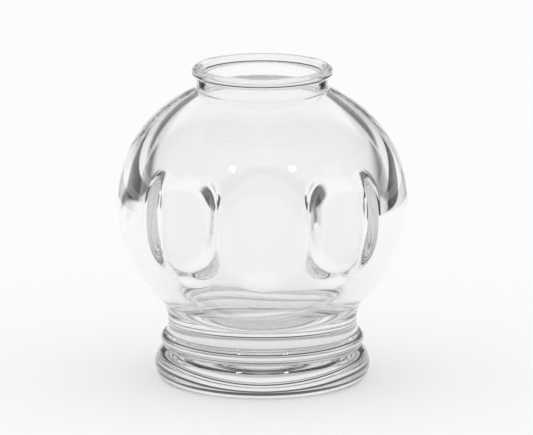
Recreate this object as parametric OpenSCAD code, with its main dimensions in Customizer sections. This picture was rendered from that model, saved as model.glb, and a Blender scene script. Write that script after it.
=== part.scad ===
// Cupping glass: a thick clear globe with a rolled lip and finger dents, on a foot of stacked rings.
// Millimetres, +Z up. The origin is on the axis, at the surface that the foot stands on. The dents face -Y.

/* [Globe] */
// Outer radius at the widest ring
globe_r = 36.3; // [33:0.1:42]
// Rise from the widest ring to where the shoulder would close over the mouth
shoulder_h = 31.9; // [29:0.1:36]
// Drop from the widest ring to where the belly would close under the globe
belly_h = 35; // [31.5:0.1:38.5]
// Radius of the seam where the globe sits on the waist
seat_r = 24.6; // [22:0.1:27]

/* [Cavity] */
// Wall at the widest ring
wall = 5; // [4.2:0.1:6]
// How much lower the cavity's shoulder would close than the globe's
shoulder_wall = 2.3; // [1.5:0.1:4]
// How much higher the cavity's floor is than the globe's belly would close
base_wall = 4; // [3:0.1:6]

/* [Finger dents] */
// Number of dents, side by side on the front
dent_count = 3; // [2:1:5]
// Turn from one dent to the next, in degrees
dent_pitch = 36; // [34:0.5:45]
// Width of a dent at the widest ring
dent_w = 19; // [14:0.5:21]
// Depth of a dent below the round of the globe
dent_depth = 3; // [2:0.1:3.6]

/* [Mouth] */
// Outer radius of the neck
neck_r = 16.5; // [15.5:0.1:17]
// Height of the neck from the shoulder to the lip
neck_h = 3.3; // [2:0.1:8]
// Radius of the bore through the neck
bore_r = 14.6; // [13:0.1:14.8]
// Outer radius of the rolled lip
lip_r = 17.7; // [17.5:0.1:19]
// Radius of the lip's round section
lip_tube = 1.43; // [1.1:0.01:1.45]
// Height of the flat that seats the lip on the neck
lip_seat = 0.5; // [0.3:0.1:0.8]

/* [Foot] */
// Outer radius of the foot ring
foot_r = 26.9; // [25:0.1:32]
// Height of the foot ring
foot_h = 8.6; // [7:0.1:9]
// Height of the foot ring's widest line
foot_mid = 4; // [3.5:0.1:5]
// Radius of the foot ring's round edge
foot_round = 5.5; // [5.2:0.1:7]
// Radius of the hollow under the foot
recess_r = 20.5; // [16:0.1:22]
// Rise of the hollow under the foot
recess_h = 1.5; // [0.8:0.1:3]
// Outer radius of the base ring
ring_r = 25.4; // [24.5:0.1:28]
// Height of the base ring
ring_h = 3.5; // [2.5:0.1:3.9]
// Radius of the base ring's round edge
ring_round = 2; // [1.9:0.1:4]
// Radius of the waist at its narrowest
waist_r = 23.6; // [21:0.1:25]
// Height of the waist
waist_h = 7.6; // [6:0.1:10]
// Height of the waist's narrowest line above the base ring
waist_low = 2.6; // [2:0.1:4]
// Radius of the waist's hollow curve
waist_curve = 11.6; // [9:0.1:20]

/* [Hidden] */
$fn = 128;
glass = [0.93, 0.96, 0.97, 0.4];
// How far a cut runs past the faces that it opens
past = 1;

// Height at which an oval of half-axes a across and b up has the radius x
function oval_z(a, b, x) = b * sqrt(1 - x * x / (a * a));

// Half-axes of the cavity
cavity_r = globe_r - wall;
cavity_up = shoulder_h - shoulder_wall;
cavity_down = belly_h - base_wall;

// Heights of the seams, from the foot up
ring_z = foot_h;
waist_z = ring_z + ring_h;
seat_z = waist_z + waist_h;
globe_z = seat_z + oval_z(globe_r, belly_h, seat_r);
neck_z = globe_z + oval_z(globe_r, shoulder_h, neck_r);
lip_z = neck_z + neck_h;
lip_mid = lip_z - lip_seat + lip_tube;
top_z = lip_mid + lip_tube;

// Each dent is the print of an upright cylinder whose edge lines stand dent_w apart.
dent_floor = globe_r - dent_depth;
dent_edge = sqrt(globe_r * globe_r - dent_w * dent_w / 4) - dent_floor;
dent_r = (dent_edge * dent_edge + dent_w * dent_w / 4) / (2 * dent_edge);
dent_axis = dent_floor + dent_r;

// The hollow under the foot is a shallow dome.
recess_dome = (recess_r * recess_r + recess_h * recess_h) / (2 * recess_h);

// Half-profile of an upright oval whose upper and lower halves differ
module oval_profile(a, up, down) {
    intersection() {
        scale([1, up / a]) circle(a);
        square([a + past, up + past]);
    }
    intersection() {
        scale([1, down / a]) circle(a);
        translate([0, -down - past]) square([a + past, down + past]);
    }
}

// Half-profile of a disc whose edge is a round of the given radius and centre height
module round_edge_profile(r, h, edge, mid) {
    intersection() {
        square([r, h]);
        union() {
            square([r - edge, h]);
            translate([r - edge, mid]) circle(edge);
        }
    }
}

// Half-profile of the globe between its seams, solid
module globe_profile() {
    intersection() {
        translate([0, globe_z]) oval_profile(globe_r, shoulder_h, belly_h);
        translate([0, seat_z]) square([globe_r + past, neck_z - seat_z]);
    }
}

// Half-profile of the space inside the glass, with the bore out through the lip
module cavity_profile() {
    translate([0, globe_z]) oval_profile(cavity_r, cavity_up, cavity_down);
    translate([0, globe_z]) square([bore_r, top_z - globe_z + past]);
}

// Half-profile of the globe's wall
module wall_profile() {
    difference() {
        globe_profile();
        cavity_profile();
    }
}

// Globe wall with the first n finger dents pressed in, one after the other, from the left
module dented_wall(n) {
    if (n == 0)
        rotate_extrude() wall_profile();
    else
        difference() {
            dented_wall(n - 1);
            rotate([0, 0, -90 + (n - (dent_count + 1) / 2) * dent_pitch])
                translate([dent_axis, 0, seat_z])
                    cylinder(r = dent_r, h = neck_z - seat_z);
        }
}

// Rolled rim: a round bead with a flat seat
module lip_bead() {
    color(glass)
        rotate_extrude()
            intersection() {
                translate([lip_r - lip_tube, lip_mid]) circle(lip_tube);
                translate([0, lip_z]) square([lip_r + past, top_z - lip_z + past]);
            }
}

// Short straight neck
module neck_collar() {
    color(glass)
        difference() {
            translate([0, 0, neck_z]) cylinder(r = neck_r, h = neck_h);
            translate([0, 0, neck_z - past]) cylinder(r = bore_r, h = neck_h + 2 * past);
        }
}

// Thick globe, open above and below, with the finger dents across its front
module globe_bowl() {
    color(glass) dented_wall(dent_count);
}

// Hollow-sided waist that closes the globe, dished by the bottom of the cavity
module waist_collar() {
    color(glass)
        rotate_extrude()
            difference() {
                translate([0, waist_z]) square([waist_r + waist_curve, waist_h]);
                translate([waist_r + waist_curve, waist_z + waist_low]) circle(waist_curve);
                cavity_profile();
            }
}

// Upper ring of the base
module base_ring() {
    color(glass)
        translate([0, 0, ring_z])
            rotate_extrude() round_edge_profile(ring_r, ring_h, ring_round, ring_h / 2);
}

// Wide foot that stands on its rim, domed underneath
module foot_ring() {
    color(glass)
        difference() {
            rotate_extrude() round_edge_profile(foot_r, foot_h, foot_round, foot_mid);
            translate([0, 0, recess_h - recess_dome]) sphere(recess_dome);
        }
}

lip_bead();
neck_collar();
globe_bowl();
waist_collar();
base_ring();
foot_ring();
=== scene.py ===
"""Cupping glass in clear fire-polished glass: one closed skin over the members of the CAD part.

The skin is a turned profile with three finger dents pressed into its front. Lengths in the shape functions
are millimetres, as in the part's drawing, and become metres when a mesh is made.
"""

import math

import bpy
import numpy as np
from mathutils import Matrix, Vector


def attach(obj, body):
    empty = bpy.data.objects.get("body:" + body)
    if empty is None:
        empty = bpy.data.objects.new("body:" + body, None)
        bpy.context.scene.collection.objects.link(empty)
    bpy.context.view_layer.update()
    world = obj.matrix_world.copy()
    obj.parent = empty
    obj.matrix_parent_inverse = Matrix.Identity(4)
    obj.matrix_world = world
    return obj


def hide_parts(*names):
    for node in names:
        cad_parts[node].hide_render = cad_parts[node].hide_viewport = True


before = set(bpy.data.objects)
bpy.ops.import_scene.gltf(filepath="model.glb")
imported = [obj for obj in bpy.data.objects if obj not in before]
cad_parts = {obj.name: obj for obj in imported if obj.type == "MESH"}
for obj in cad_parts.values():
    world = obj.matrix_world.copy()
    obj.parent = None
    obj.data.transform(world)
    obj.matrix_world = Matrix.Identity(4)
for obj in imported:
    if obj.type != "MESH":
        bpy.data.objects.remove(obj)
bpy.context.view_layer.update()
MM = 0.001

# Globe: an oval whose upper and lower halves differ
GLOBE_R = 36.3
SHOULDER_H = 31.9
BELLY_H = 35.0
SEAT_R = 24.6
# Space inside the glass
WALL = 5.0
SHOULDER_WALL = 2.3
BASE_WALL = 4.0
# Neck and rolled lip
NECK_R = 16.5
NECK_H = 3.3
BORE_R = 14.6
LIP_R = 17.7
LIP_TUBE = 1.43
LIP_SEAT = 0.5
# Foot ring, base ring and waist, from the table up
FOOT_R, FOOT_H, FOOT_MID, FOOT_ROUND = 26.9, 8.6, 4.0, 5.5
RECESS_R, RECESS_H = 20.5, 1.5
RING_R, RING_H, RING_ROUND = 25.4, 3.5, 2.0
WAIST_R, WAIST_H, WAIST_LOW, WAIST_CURVE = 23.6, 7.6, 2.6, 11.6
# Finger dents: turn between them in degrees, and height of their middles over the widest ring along the globe
DENT_PITCH = 35.767
DENT_RISE = 0.506
# Side dents: half widths towards the middle dent and away from it, half height and power of the rim, depth
# and hollowing of the floor, and fall of the flank towards the middle dent and away from it
SIDE_IN = 13.63
SIDE_OUT = 11.257
SIDE_H = 15.866
SIDE_POWER = 3.436
SIDE_DEPTH = 2.682
SIDE_HOLLOW = -0.01
SIDE_FALL_IN = 0.28
SIDE_FALL_OUT = 0.35
# The same for the middle dent, which is alike on both sides
MID_W = 8.5
MID_H = 15.189
MID_POWER = 4.489
MID_DEPTH = 1.936
MID_HOLLOW = 0.025
MID_FALL = 0.24
# Depth over which the floor's ends are rounded into the globe, and the floor's edges into the flanks
END_SOFT = 1.2
EDGE_SOFT = 0.4
# Run of a flank from the rim to the middle, power of its fall, and width over which one fall becomes the other
FLANK_RUN = 12.0
FLANK_POWER = 2.133
FLANK_BLEND = 8.0
# Bulge of the inner wall behind each dent, where the soft glass was pressed in, its half width and its
# stretch upwards
BULGE = 2.996
BULGE_R = 14.468
BULGE_STRETCH = 1.25
# Fillet that fire-polishing leaves in the creases
POLISH = 0.3
# Waviness of the blown inner wall: height, the width over which it fades at floor and neck, and for each wave
# its count round the axis, its phase per millimetre of height and its first phase
WAVE = 0.06
WAVE_FADE = 8.0
WAVES = ((3, 0.11, 0.0), (5, -0.19, 1.3), (2, 0.31, 2.1))
# Points of the drawn lines, before they are spread evenly
UNDER_POINTS = 160
WAIST_POINTS = 120
LIP_POINTS = 160
# Grid of the skin: points along the profile and round the axis, and how much closer they stand in front
ALONG = 300
AROUND = 320
CROWDING = 0.45

SEAT_Z = FOOT_H + RING_H + WAIST_H
GLOBE_Z = SEAT_Z + BELLY_H * math.sqrt(1 - (SEAT_R / GLOBE_R) ** 2)
NECK_Z = GLOBE_Z + SHOULDER_H * math.sqrt(1 - (NECK_R / GLOBE_R) ** 2)
LIP_Z = NECK_Z + NECK_H
LIP_MID = LIP_Z - LIP_SEAT + LIP_TUBE


def arc(cx, cz, r, start, end, n=200):
    """Points of a circle about (cx, cz), between two angles in radians."""
    t = np.linspace(start, end, n)
    return np.c_[cx + r * np.cos(t), cz + r * np.sin(t)]


def oval(r, up, down, start, end, n=600):
    """Points of the globe's oval about its widest ring: half-axis up above it and down below it."""
    t = np.linspace(start, end, n)
    return np.c_[r * np.cos(t), GLOBE_Z + np.where(t < 0, down, up) * np.sin(t)]


def under_line():
    """The underside from the axis out: a shallow dome. The flat ring that the glass stands on is the straight
    run from its end to the foot's side.
    """
    dome = (RECESS_R**2 + RECESS_H**2) / (2 * RECESS_H)
    r = np.linspace(0, RECESS_R, UNDER_POINTS)
    return np.c_[r, RECESS_H - dome + np.sqrt(dome**2 - r**2)]


def foot_line():
    """The foot's side: the rounds of the foot ring and of the base ring, then the waist, a hollow arc."""
    low = math.asin(-FOOT_MID / FOOT_ROUND)
    high = math.asin((FOOT_H - FOOT_MID) / FOOT_ROUND)
    foot = arc(FOOT_R - FOOT_ROUND, FOOT_MID, FOOT_ROUND, low, high)
    half = math.asin(RING_H / 2 / RING_ROUND)
    ring = arc(RING_R - RING_ROUND, FOOT_H + RING_H / 2, RING_ROUND, -half, half)
    z = np.linspace(0, WAIST_H, WAIST_POINTS)
    hollow = WAIST_R + WAIST_CURVE - np.sqrt(WAIST_CURVE**2 - (z - WAIST_LOW) ** 2)
    return np.vstack([foot, ring, np.c_[hollow, FOOT_H + RING_H + z]])


def lip_line():
    """The rolled lip: a round bead, from its outer seat over the top to its inner seat."""
    seat = math.asin((LIP_TUBE - LIP_SEAT) / LIP_TUBE)
    return arc(LIP_R - LIP_TUBE, LIP_MID, LIP_TUBE, -seat, math.pi + seat, LIP_POINTS)


def even(line, step):
    """The line resampled to points a step apart along its length."""
    d = np.r_[0, np.cumsum(np.hypot(*np.diff(line, axis=0).T))]
    line, d = line[np.r_[True, np.diff(d) > 0]], d[np.r_[True, np.diff(d) > 0]]
    s = np.linspace(0, d[-1], int(d[-1] / step))
    return np.c_[np.interp(s, d, line[:, 0]), np.interp(s, d, line[:, 1])]


def polished(line, width, step=0.05, reach=4):
    """The line with its creases rounded: each point is the mean of its neighbours under a bell of that width,
    cut off at reach widths. Both ends lie on the axis, so the line goes on past them as its mirror image.
    """
    line = even(line, step)
    n = int(reach * width / step)
    k = np.exp(-0.5 * (np.arange(-n, n + 1) * step / width) ** 2)
    k /= k.sum()
    flip = np.array([-1.0, 1.0])
    long = np.vstack([line[n:0:-1] * flip, line, line[-2 : -n - 2 : -1] * flip])
    return np.c_[np.convolve(long[:, 0], k, "valid"), np.convolve(long[:, 1], k, "valid")]


def by_curve(line, count, pull=6.0, sharpest=1.0, run=21):
    """The line thinned to count points, closer together where it turns sharply: their density is 1 plus pull
    times the turn per millimetre, which is a mean over a run of points and counts up to the sharpest.
    """
    d = np.r_[0, np.cumsum(np.hypot(*np.diff(line, axis=0).T))]
    t = np.unwrap(np.arctan2(np.gradient(line[:, 1]), np.gradient(line[:, 0])))
    turn = np.abs(np.gradient(t, d))
    turn = np.convolve(turn, np.ones(run) / run, "same")
    weight = np.r_[0, np.cumsum((1 + pull * np.minimum(turn, sharpest))[1:] * np.diff(d))]
    s = np.interp(np.linspace(0, weight[-1], count), weight, d)
    return np.c_[np.interp(s, d, line[:, 0]), np.interp(s, d, line[:, 1])]


def glass_profile():
    """The whole section of the glass from the axis below, up the outside, over the lip and down to the
    cavity's floor, and for each of its points whether it is inside.
    """
    cavity_r = GLOBE_R - WALL
    cavity_up = SHOULDER_H - SHOULDER_WALL
    cavity_down = BELLY_H - BASE_WALL
    seat, neck = math.acos(SEAT_R / GLOBE_R), math.acos(NECK_R / GLOBE_R)
    line = np.vstack(
        [
            under_line(),
            foot_line(),
            oval(GLOBE_R, SHOULDER_H, BELLY_H, -seat, neck),
            [(NECK_R, LIP_Z)],
            lip_line(),
            [(BORE_R, LIP_Z)],
            oval(cavity_r, cavity_up, cavity_down, math.acos(BORE_R / cavity_r), -math.pi / 2),
        ]
    )
    line = by_curve(polished(line, POLISH), ALONG)
    line[0, 0] = line[-1, 0] = 0.0
    return line, np.arange(ALONG) > np.argmax(line[:, 1])


SIDE_DENT = (SIDE_IN, SIDE_OUT, SIDE_H, SIDE_POWER, SIDE_DEPTH, SIDE_HOLLOW, SIDE_FALL_IN, SIDE_FALL_OUT)
MID_DENT = (MID_W, MID_W, MID_H, MID_POWER, MID_DEPTH, MID_HOLLOW, MID_FALL, MID_FALL)
DENTS = ((-1, SIDE_DENT), (0, MID_DENT), (1, SIDE_DENT))


def over_globe(z, turn, k):
    """Distances over the globe from the middle of dent k, across and along it, in millimetres."""
    across = GLOBE_R * ((turn - math.radians(k * DENT_PITCH) + math.pi) % (2 * math.pi) - math.pi)
    half = np.where(z > GLOBE_Z, SHOULDER_H, BELLY_H)
    return across, GLOBE_R * np.arcsin(np.clip((z - GLOBE_Z) / half, -1, 1)) - DENT_RISE


def soft_top(a, b, soft):
    """The larger of a and b, raised by a quarter of soft where they meet. The rise falls off with the square
    of their difference and ends where that is soft.
    """
    return np.maximum(a, b) + soft / 4 * np.maximum(0, 1 - np.abs(a - b) / soft) ** 2


def dented(r, z, turn):
    """Outer radius less the deepest dent. A dent's floor is upright, so that it runs out into the round of the
    globe above and below, and its depth changes sideways with the square of the distance from its middle
    line. Its rim is a rounded rectangle: the distances across and along, each over its half size and to the
    rim's power, add up to 1 there. Near the rim the flank is shallower and cuts the floor off: its depth is a
    power of the distance from the rim. The creases between them are rounded.
    """
    deep = 0 * r
    for k, dent in DENTS:
        wide_in, wide_out, high, power, depth, hollow, fall_in, fall_out = dent
        across, along = over_globe(z, turn, k)
        inward = np.clip(0.5 - k * across / FLANK_BLEND, 0, 1)
        fall = fall_out + (fall_in - fall_out) * inward**2 * (3 - 2 * inward)
        wide = np.where(k * across < 0, wide_in, wide_out)
        floor = r - (GLOBE_R - depth) - hollow * across**2
        inset = 1 - ((np.abs(across) / wide) ** power + (np.abs(along) / high) ** power) ** (1 / power)
        flank = fall * np.maximum(FLANK_RUN * inset, 0) ** FLANK_POWER
        deep = np.maximum(deep, -soft_top(-soft_top(floor, 0, END_SOFT), -flank, EDGE_SOFT))
    return np.where((z > SEAT_Z) & (z < NECK_Z), r - deep, r)


def bulged(r, z, turn):
    """Inner radius less a soft bulge behind each dent, (1 - q squared) squared with q the distance from the
    dent's middle, and less the slow waviness of blown glass: crossed sine waves that fade at floor and neck.
    """
    bulge = 0 * r
    for k, _ in DENTS:
        across, along = over_globe(z, turn, k)
        q = np.clip(np.hypot(across, along / BULGE_STRETCH) / BULGE_R, 0, 1)
        bulge = np.maximum(bulge, BULGE * (1 - q**2) ** 2)
    fade = np.clip((r - BORE_R) / WAVE_FADE, 0, 1)
    wave = sum(np.sin(count * turn + rate * z + first) for count, rate, first in WAVES)
    return r - bulge - WAVE * fade * wave


def linked(name, mesh):
    """Object at the origin with that mesh, put into the scene."""
    obj = bpy.data.objects.new(name, mesh)
    bpy.context.scene.collection.objects.link(obj)
    return obj


def closed_mesh(name, points, faces):
    """Object from points in millimetres and faces that all point outwards, smoothly shaded."""
    mesh = bpy.data.meshes.new(name)
    mesh.from_pydata((points * MM).tolist(), [], faces)
    mesh.polygons.foreach_set("use_smooth", np.ones(len(mesh.polygons), bool))
    mesh.update()
    return linked(name, mesh)


def glass_skin():
    """The closed skin: the profile turned round the axis on a grid that is finer in front, dented outside and
    bulged inside, with one point at each pole.
    """
    line, inside = glass_profile()
    u = np.linspace(0, 2 * math.pi, AROUND, endpoint=False)
    turn = (u - CROWDING * np.sin(u))[None, :]
    r = line[:, :1] + 0 * turn
    z = line[:, 1:] + 0 * turn
    turn = turn + 0 * r
    r = np.where(inside[:, None], bulged(r, z, turn), dented(r, z, turn))
    rings = np.stack([r * np.sin(turn), -r * np.cos(turn), z], -1)[1:-1].reshape(-1, 3)
    points = np.vstack([rings, [(0, 0, line[0, 1])], [(0, 0, line[-1, 1])]])
    j = np.arange(AROUND)
    k = (j + 1) % AROUND
    low = np.arange(ALONG - 3)[:, None] * AROUND
    high = low + AROUND
    sides = np.stack([low + j, low + k, high + k, high + j], -1).reshape(-1, 4)
    last = (ALONG - 3) * AROUND
    below = np.stack([k, j, np.full(AROUND, len(rings))], -1)
    above = np.stack([last + j, last + k, np.full(AROUND, len(rings) + 1)], -1)
    return closed_mesh("glass", points, sides.tolist() + below.tolist() + above.tolist())


# Fire polish: cells per metre and detail of the ripple and of the handling haze, the noise between which the
# haze sets in, its roughness, the ripple's strength and height in metres, and the glass's tint in its hollows
# and on its crests
RIPPLE_SIZE, RIPPLE_DETAIL = 55.0, 1.0
HAZE_SIZE, HAZE_DETAIL = 90.0, 4.0
HAZE_FROM, HAZE_TO = 0.52, 0.72
HAZE = 0.015
RIPPLE_STRENGTH, RIPPLE_HEIGHT = 0.03, 0.001
TINT_LOW = (0.985, 0.99, 0.988)
TINT_HIGH = (0.998, 0.998, 0.998)
# Refraction of soda glass
GLASS_IOR = 1.5
# Light that the glass takes up on its way, per metre, is half of ABSORB: it greys only the long paths inside
# the wall
ABSORB = 4.0
ABSORB_GREY = (0.5, 0.5, 0.5, 1.0)


def socket(group, name, way, kind="NodeSocketFloat", value=None):
    """A named socket on a node group's face."""
    face = group.interface.new_socket(name=name, in_out=way, socket_type=kind)
    if value is not None:
        face.default_value = value


def fire_polish_group():
    """Fire-polished surface: a slow ripple for the bump, and a faint handling haze that roughens it in
    patches.
    """
    group = bpy.data.node_groups.new("Fire polish", "ShaderNodeTree")
    socket(group, "Ripple Size", "INPUT", value=RIPPLE_SIZE)
    socket(group, "Haze Size", "INPUT", value=HAZE_SIZE)
    socket(group, "Haze", "INPUT", value=HAZE)
    socket(group, "Ripple", "OUTPUT")
    socket(group, "Roughness", "OUTPUT")
    socket(group, "Tint", "OUTPUT", "NodeSocketColor")
    nodes, link = group.nodes, group.links.new
    face_in = nodes.new("NodeGroupInput")
    face_out = nodes.new("NodeGroupOutput")
    place = nodes.new("ShaderNodeTexCoord")
    ripple = nodes.new("ShaderNodeTexNoise")
    haze = nodes.new("ShaderNodeTexNoise")
    for noise, size, detail in ((ripple, "Ripple Size", RIPPLE_DETAIL), (haze, "Haze Size", HAZE_DETAIL)):
        noise.inputs["Detail"].default_value = detail
        link(place.outputs["Object"], noise.inputs["Vector"])
        link(face_in.outputs[size], noise.inputs["Scale"])
    link(ripple.outputs["Fac"], face_out.inputs["Ripple"])
    patch = nodes.new("ShaderNodeMapRange")
    patch.inputs["From Min"].default_value = HAZE_FROM
    patch.inputs["From Max"].default_value = HAZE_TO
    link(haze.outputs["Fac"], patch.inputs["Value"])
    link(face_in.outputs["Haze"], patch.inputs["To Max"])
    link(patch.outputs["Result"], face_out.inputs["Roughness"])
    tint = nodes.new("ShaderNodeMapRange")
    tint.data_type = "FLOAT_VECTOR"
    tint.inputs["To Min"].default_value = TINT_LOW
    tint.inputs["To Max"].default_value = TINT_HIGH
    link(ripple.outputs["Fac"], tint.inputs["Vector"])
    link(tint.outputs["Vector"], face_out.inputs["Tint"])
    return group


def clear_glass():
    """Colourless soda glass with a fire-polished surface."""
    mat = bpy.data.materials.new("clear_glass")
    mat.use_nodes = True
    nodes, link = mat.node_tree.nodes, mat.node_tree.links.new
    glass = nodes["Principled BSDF"]
    glass.inputs["Transmission Weight"].default_value = 1.0
    glass.inputs["IOR"].default_value = GLASS_IOR
    polish = nodes.new("ShaderNodeGroup")
    polish.node_tree = fire_polish_group()
    polish.inputs["Haze"].default_value = HAZE
    bump = nodes.new("ShaderNodeBump")
    bump.inputs["Strength"].default_value = RIPPLE_STRENGTH
    bump.inputs["Distance"].default_value = RIPPLE_HEIGHT
    link(polish.outputs["Tint"], glass.inputs["Base Color"])
    link(polish.outputs["Roughness"], glass.inputs["Roughness"])
    link(polish.outputs["Ripple"], bump.inputs["Height"])
    link(bump.outputs["Normal"], glass.inputs["Normal"])
    body = nodes.new("ShaderNodeVolumeAbsorption")
    body.inputs["Color"].default_value = ABSORB_GREY
    body.inputs["Density"].default_value = ABSORB
    link(body.outputs["Volume"], nodes["Material Output"].inputs["Volume"])
    return mat


# Number of turns after which light counts as trapped in the wall and sees a plain white room
TRAPPED = 8.5
# A ray's count of diffuse bounces is below this as long as there was none
NONE_YET = 0.5


class Sums:
    """Short hand for chains of math nodes in one node tree."""

    def __init__(self, tree):
        self.tree = tree
        self.path = tree.nodes.new("ShaderNodeLightPath").outputs

    def __call__(self, operation, *values):
        node = self.tree.nodes.new("ShaderNodeMath")
        node.operation = operation
        for k, v in enumerate(values):
            if isinstance(v, (int, float)):
                node.inputs[k].default_value = v
            else:
                self.tree.links.new(v, node.inputs[k])
        return node.outputs[0]

    def seen(self):
        """1 for a ray from the camera, straight or turned by glass or gloss, 0 for one that lights a face."""
        return self("LESS_THAN", self.path["Diffuse Depth"], NONE_YET)

    def bent(self):
        """1 for a ray from the camera that glass or gloss has turned, 0 for a straight one, for one that
        lights a face and for one that was long trapped in the wall.
        """
        free = self("LESS_THAN", self.path["Ray Depth"], TRAPPED)
        return self("MULTIPLY", self("SUBTRACT", free, self.path["Is Camera Ray"]), self.seen())

    def past(self, value, place, soft):
        """0 where the value is below the place, 1 above it, smooth over soft on either side."""
        node = self.tree.nodes.new("ShaderNodeMapRange")
        node.interpolation_type = "SMOOTHSTEP"
        node.inputs["From Min"].default_value = place - soft
        node.inputs["From Max"].default_value = place + soft
        self.tree.links.new(value, node.inputs["Value"])
        return node.outputs["Result"]

    def grey(self, value):
        """The grey of that value, as a colour."""
        node = self.tree.nodes.new("ShaderNodeCombineColor")
        for k in range(3):
            self.tree.links.new(value, node.inputs[k])
        return node.outputs[0]


def bare_tree(owner, kind):
    """An owner's node tree with nothing in it but an output node of that kind, and that node's input."""
    owner.use_nodes = True
    tree = owner.node_tree
    tree.nodes.clear()
    return tree, tree.nodes.new(kind).inputs["Surface"]


# Table: half its side in metres, how white the paper is, and the share of its own glow where it is seen
TABLE_HALF = 5.0
TABLE_WHITE = 0.97
PAPER_GLOW = 0.3
# A white sweep goes back from the glass, and on either side of it the paper is painted dark. This painted shade
# is seen only by rays that the glass turns, so that dark refractions and reflections show in the glass. The
# painted patches reach from a near to a far radius in metres and from the sweep's edge to an outer one, whose
# slopes are x over y. Each edge has its softness in metres.
SHADE_NEAR, NEAR_SOFT = 0.25, 0.01
SHADE_FAR, FAR_SOFT = 0.6, 0.06
SWEEP_SLOPE, SHADE_SLOPE, SLOPE_SOFT = 0.425, 2.2, 0.02
# painted shade: how dark the paper is painted where only rays turned by the glass see it
SHADE_DARK = 0.03


def table_material():
    """White paper that glows a little where it is seen, also through glass, and painted shade beside the sweep:
    dark patches that only rays the glass turns see, which paint dark refractions and reflections into the glass.
    """
    mat = bpy.data.materials.new("table_white")
    tree, surface = bare_tree(mat, "ShaderNodeOutputMaterial")
    link = tree.links.new
    sums = Sums(tree)
    place = tree.nodes.new("ShaderNodeTexCoord")
    split = tree.nodes.new("ShaderNodeSeparateXYZ")
    link(place.outputs["Object"], split.inputs[0])
    x, y = split.outputs["X"], split.outputs["Y"]
    away = sums("SQRT", sums("ADD", sums("MULTIPLY", x, x), sums("MULTIPLY", y, y)))
    ring = sums("SUBTRACT", sums.past(away, SHADE_NEAR, NEAR_SOFT), sums.past(away, SHADE_FAR, FAR_SOFT))
    beside = sums("ABSOLUTE", x)
    off_sweep, off_shade = (
        sums.past(sums("SUBTRACT", beside, sums("MULTIPLY", y, slope)), 0.0, SLOPE_SOFT)
        for slope in (SWEEP_SLOPE, SHADE_SLOPE)
    )
    # painted shade: the paper is darkened here only for rays that the glass turns, to give dark marks in the
    # glass
    painted_shade = sums("MULTIPLY", ring, sums("SUBTRACT", off_sweep, off_shade))
    dark = sums("MULTIPLY", painted_shade, sums.bent())
    paper = tree.nodes.new("ShaderNodeBsdfDiffuse")
    shade = sums("SUBTRACT", TABLE_WHITE, sums("MULTIPLY", dark, TABLE_WHITE - SHADE_DARK))
    link(sums.grey(shade), paper.inputs["Color"])
    white = tree.nodes.new("ShaderNodeEmission")
    mix = tree.nodes.new("ShaderNodeMixShader")
    lit = sums("MULTIPLY", sums.seen(), sums("SUBTRACT", 1.0, dark))
    link(sums("MULTIPLY", lit, PAPER_GLOW), mix.inputs["Fac"])
    link(paper.outputs[0], mix.inputs[1])
    link(white.outputs[0], mix.inputs[2])
    link(mix.outputs[0], surface)
    return mat


# Room: for rays that the glass turns it is dim at the sides, in front and at the top, and in a band over the
# sweep's end. Turns are from the back and rises from level, in degrees, each with its softness.
SIDE_TURN, SIDE_DIM = 50.0, 0.97
FRONT_TURN, FRONT_DIM = 165.0, 0.8
TURN_SOFT = 10.0
TOP_RISE, TOP_SOFT, TOP_DIM = 40.0, 6.0, 0.4
BAND_LOW, BAND_TOP, BAND_SOFT, BAND_DIM = 3.0, 18.0, 3.0, 0.9


def studio_world():
    """White all round at strength 1, and the dim sides, front, top and band for rays that the glass turns."""
    world = bpy.data.worlds.new("studio")
    bpy.context.scene.world = world
    tree, surface = bare_tree(world, "ShaderNodeOutputWorld")
    link = tree.links.new
    sums = Sums(tree)
    place = tree.nodes.new("ShaderNodeTexCoord")
    split = tree.nodes.new("ShaderNodeSeparateXYZ")
    link(place.outputs["Generated"], split.inputs[0])
    x, y, z = (split.outputs[axis] for axis in "XYZ")
    turn = sums("MULTIPLY", sums("ARCTAN2", sums("ABSOLUTE", x), y), math.degrees(1))
    rise = sums("MULTIPLY", sums("ARCSINE", z), math.degrees(1))
    side = sums("MULTIPLY", sums.past(turn, SIDE_TURN, TURN_SOFT), SIDE_DIM)
    front = sums("MULTIPLY", sums.past(turn, FRONT_TURN, TURN_SOFT), FRONT_DIM - SIDE_DIM)
    top = sums("MULTIPLY", sums.past(rise, TOP_RISE, TOP_SOFT), TOP_DIM)
    band = sums("SUBTRACT", sums.past(rise, BAND_LOW, BAND_SOFT), sums.past(rise, BAND_TOP, BAND_SOFT))
    back = sums("MAXIMUM", top, sums("MULTIPLY", band, BAND_DIM))
    dim = sums("MULTIPLY", sums("MAXIMUM", sums("ADD", side, front), back), sums.bent())
    light = tree.nodes.new("ShaderNodeBackground")
    link(sums.grey(sums("SUBTRACT", 1.0, dim)), light.inputs["Color"])
    link(light.outputs[0], surface)


def stage_face(name, corners, mat):
    """A four-cornered face of the studio, corners in metres."""
    mesh = bpy.data.meshes.new(name)
    mesh.from_pydata(corners, [], [(0, 1, 2, 3)])
    mesh.materials.append(mat)
    obj = linked(name, mesh)
    return obj


# Corners of a face, from its middle, in half widths and half heights
CORNERS = ((-1, -1), (1, -1), (1, 1), (-1, 1))


def table_top():
    """The floor: one large square under the foot."""
    stage_face("table", [(i * TABLE_HALF, j * TABLE_HALF, 0) for i, j in CORNERS], table_material())


# Lamp faces that only gloss shows: turn from the back in degrees of each, rise in degrees, half side and
# distance from the globe's middle in metres, and strength
LAMPS = {"lamp_left": -148.0, "lamp_right": 148.0}
LAMP_RISE = 46.0
LAMP_HALF = 0.05
LAMP_AWAY = 1.2
LAMP_GLOW = 30.0


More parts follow.
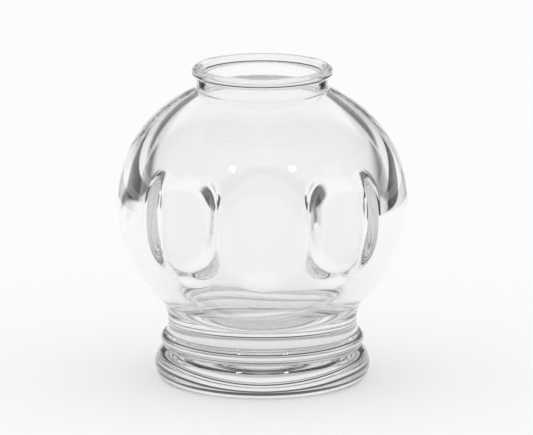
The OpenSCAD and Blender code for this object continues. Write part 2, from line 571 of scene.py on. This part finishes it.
def lamp_faces():
    """Square faces on a ball round the globe, each turned to its middle, and hidden from all but glossy rays."""
    mat = bpy.data.materials.new("lamp_white")
    tree, surface = bare_tree(mat, "ShaderNodeOutputMaterial")
    glow = tree.nodes.new("ShaderNodeEmission")
    glow.inputs["Strength"].default_value = LAMP_GLOW
    tree.links.new(glow.outputs[0], surface)
    e = math.radians(LAMP_RISE)
    for name, turn in LAMPS.items():
        t = math.radians(turn)
        way = np.array([math.sin(t) * math.cos(e), math.cos(t) * math.cos(e), math.sin(e)])
        across = np.array([math.cos(t), -math.sin(t), 0.0])
        upward = np.cross(across, way)
        middle = np.array([0, 0, GLOBE_Z * MM]) + LAMP_AWAY * way
        corners = [tuple(middle + LAMP_HALF * (i * across + j * upward)) for i, j in CORNERS]
        obj = stage_face(name, corners, mat)
        obj.visible_camera = obj.visible_diffuse = obj.visible_transmission = obj.visible_shadow = False


# Camera: the photograph's angle in degrees, distance and aim in metres, and in the photograph's points the
# frame's width, the place of the glass's axis and the scale per metre
CAMERA_RISE = 12.4
CAMERA_AWAY = 2.7
AIM_Z = 0.0408
FRAME_W = 533
AXIS_X = 262.4
POINTS_PER_M = 4000
# Width of the film in millimetres, and how far the camera sees in metres
FILM_W = 36.0
FARTHEST = 100.0


def camera():
    """A long lens in front of the glass, looking down at it."""
    cam = bpy.data.cameras.new("camera")
    obj = linked("camera", cam)
    bpy.context.scene.camera = obj
    rise = math.radians(CAMERA_RISE)
    aim = Vector((0, 0, AIM_Z))
    obj.location = aim + CAMERA_AWAY * Vector((0, -math.cos(rise), math.sin(rise)))
    obj.rotation_euler = (aim - obj.location).to_track_quat("-Z", "Y").to_euler()
    cam.sensor_width = FILM_W
    cam.lens = POINTS_PER_M * CAMERA_AWAY * FILM_W / FRAME_W
    cam.shift_x = (FRAME_W / 2 - AXIS_X) / FRAME_W
    cam.clip_end = FARTHEST


# Light is turned many times inside the thick wall before it leaves
BOUNCES = 64

glass = glass_skin()
glass.data.materials.append(clear_glass())
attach(glass, "root")
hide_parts("lip_bead", "neck_collar", "globe_bowl", "waist_collar", "base_ring", "foot_ring")

table_top()
studio_world()
lamp_faces()
camera()
scene = bpy.context.scene
scene.view_settings.view_transform = "Standard"
scene.cycles.max_bounces = BOUNCES
scene.cycles.transmission_bounces = BOUNCES
scene.cycles.glossy_bounces = BOUNCES
